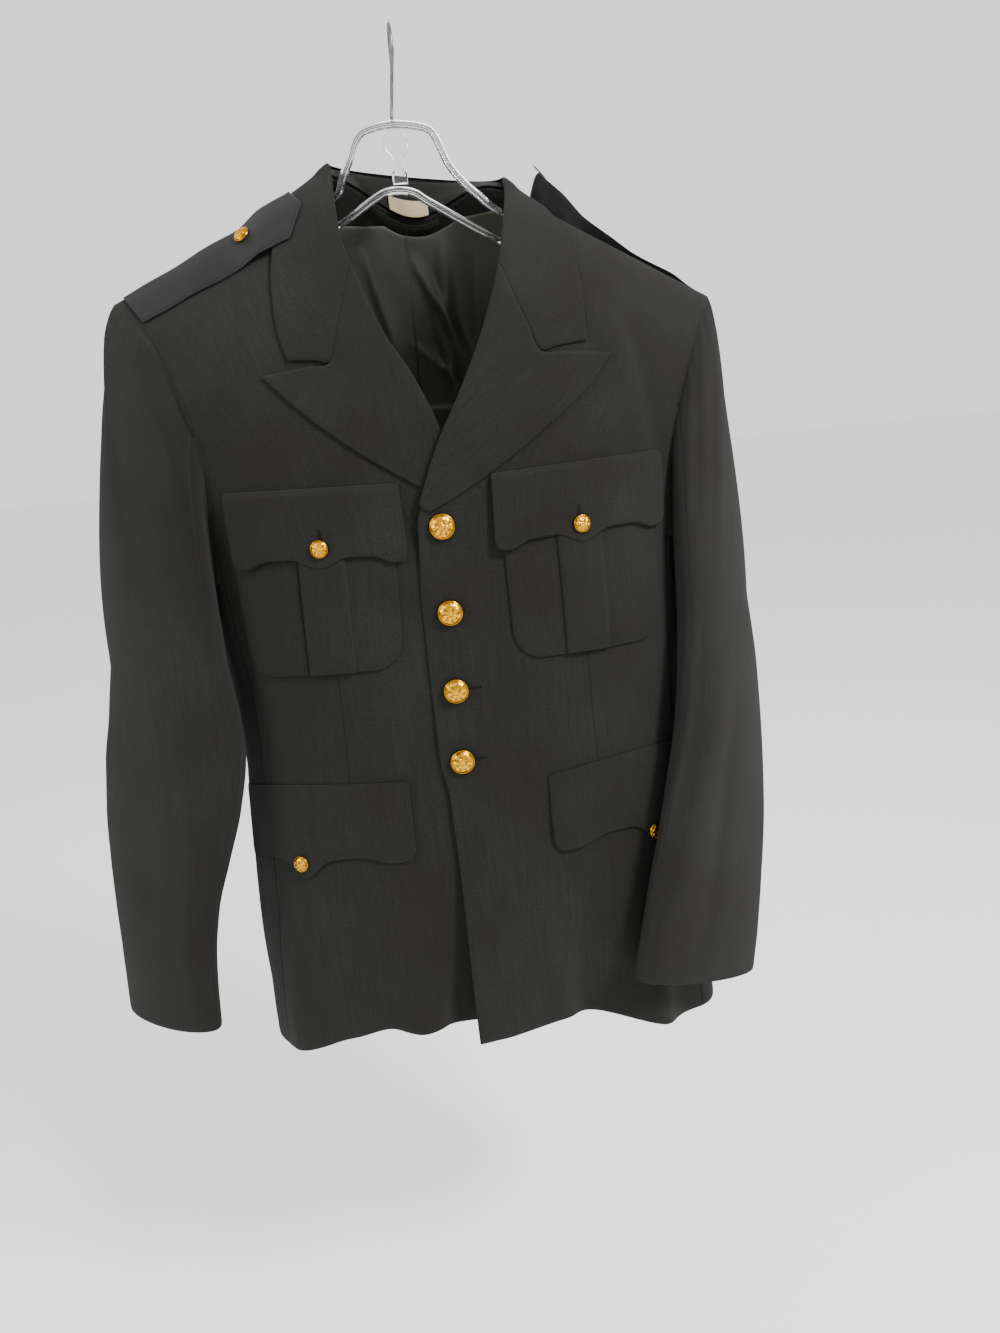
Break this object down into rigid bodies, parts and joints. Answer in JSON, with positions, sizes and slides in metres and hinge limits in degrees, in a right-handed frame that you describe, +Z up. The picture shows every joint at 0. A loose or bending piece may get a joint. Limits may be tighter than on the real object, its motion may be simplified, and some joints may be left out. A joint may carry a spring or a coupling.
{
  "type": "military jacket on a clear hanger",
  "caption": "Single-breasted military dress jacket with pleated breast pockets, flapped lower pockets, shoulder loops and gold buttons, hung on a clear hanger with a wire hook",
  "frame": {"origin": "inner top of the hook, where it rests on its rail", "axes": "+Z up, -Y toward the viewer of the jacket's front, +X to that viewer's right, which is the wearer's left"},
  "size_m": [0.6621, 0.2742, 0.9522],
  "materials": {
    "wool": "dark green-grey wool, matt",
    "satin": "dark grey cloth with a soft sheen",
    "lining": "dark olive lining",
    "label": "beige woven label, blank",
    "gold": "polished gold colour",
    "clear": "clear, glossy",
    "wire": "drawn steel wire"
  },
  "bodies": {
    "root": {"back_left": "wool", "back_lining": "lining", "back_right": "wool", "blank_label": "label", "breast_button_left": "gold", "breast_button_right": "gold", "breast_flap_left": "wool", "breast_flap_right": "wool", "breast_pocket_left": "wool", "breast_pocket_right": "wool", "collar_fall": "wool", "collar_stand": "wool", "front_button_1": "gold", "front_button_2": "gold", "front_button_3": "gold", "front_button_4": "gold", "front_left": "wool", "front_right": "wool", "hanger_frame": "clear", "hanger_strut": "clear", "hook_wire": "wire", "lapel_left": "wool", "lapel_right": "wool", "loop_button_left": "gold", "loop_button_right": "gold", "lower_button_left": "gold", "lower_button_right": "gold", "lower_flap_left": "wool", "lower_flap_right": "wool", "neck_hang_loop": "wool", "shoulder_loop_left": "satin", "shoulder_loop_right": "satin", "side_panel_left": "wool", "side_panel_right": "wool", "sleeve_top_left": "wool", "sleeve_top_right": "wool", "sleeve_under_left": "wool", "sleeve_under_right": "wool"}
  },
  "joints": []
}
